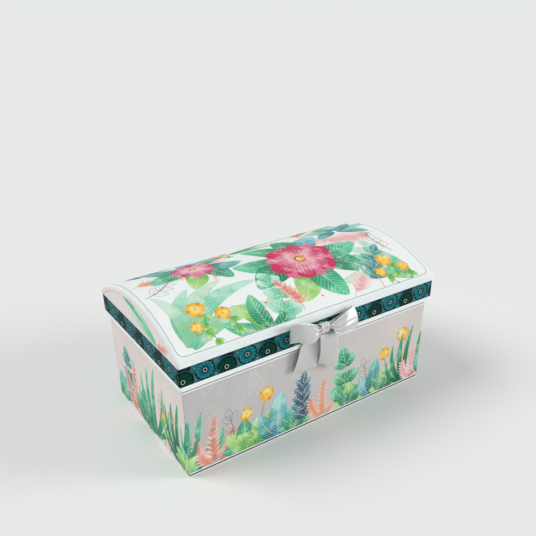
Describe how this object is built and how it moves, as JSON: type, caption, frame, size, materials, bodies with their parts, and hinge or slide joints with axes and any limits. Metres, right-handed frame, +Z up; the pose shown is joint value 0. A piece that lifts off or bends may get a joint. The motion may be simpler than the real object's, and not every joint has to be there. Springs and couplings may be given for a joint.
{
  "type": "paper-covered keepsake box",
  "caption": "Treasure-chest keepsake box of paper-covered board with a padded domed lid on a paper hinge and a ribbon bow on its front.",
  "frame": {"origin": "on the table, under the middle of the box: the middle of its length and of the lid's width", "axes": "+Z up; +X to the right along the box's length as seen from the front; +Y to the back, so the bow faces -Y"},
  "size_m": [0.2608, 0.1634, 0.135],
  "materials": {
    "greyboard": "raw",
    "printed_paper": "satin print",
    "dome_paper": "satin print",
    "lining_paper": "matt",
    "wadding": "soft",
    "satin_ribbon": "satin",
    "hot_glue": "waxy"
  },
  "bodies": {
    "base": {"base_bottom_board": "greyboard", "base_front_board": "greyboard", "base_back_board": "greyboard", "base_left_board": "greyboard", "base_right_board": "greyboard", "base_wrap": "printed_paper", "base_bottom_sheet": "lining_paper", "base_wall_lining": "lining_paper", "base_floor_card": "lining_paper", "hinge_leaf_lower": "lining_paper"},
    "lid": {"hinge_leaf_upper": "lining_paper", "lid_front_board": "greyboard", "lid_back_board": "greyboard", "lid_left_end_board": "greyboard", "lid_right_end_board": "greyboard", "lid_dome_board": "greyboard", "lid_dome_padding": "wadding", "lid_dome_wrap": "dome_paper", "lid_skirt_wrap": "printed_paper", "lid_left_end_paper": "printed_paper", "lid_right_end_paper": "printed_paper", "lid_wall_lining": "lining_paper", "lid_dome_lining": "lining_paper", "bow_glue_dot": "hot_glue", "bow_loops": "satin_ribbon", "bow_knot": "satin_ribbon", "bow_tail_left": "satin_ribbon", "bow_tail_right": "satin_ribbon"}
  },
  "joints": [
    {"name": "lid_hinge", "type": "hinge", "parent": "base", "child": "lid", "pos_m": [0, 0.0736, 0.0875], "axis": [-1, 0, 0], "range_deg": [0, 95]}
  ]
}
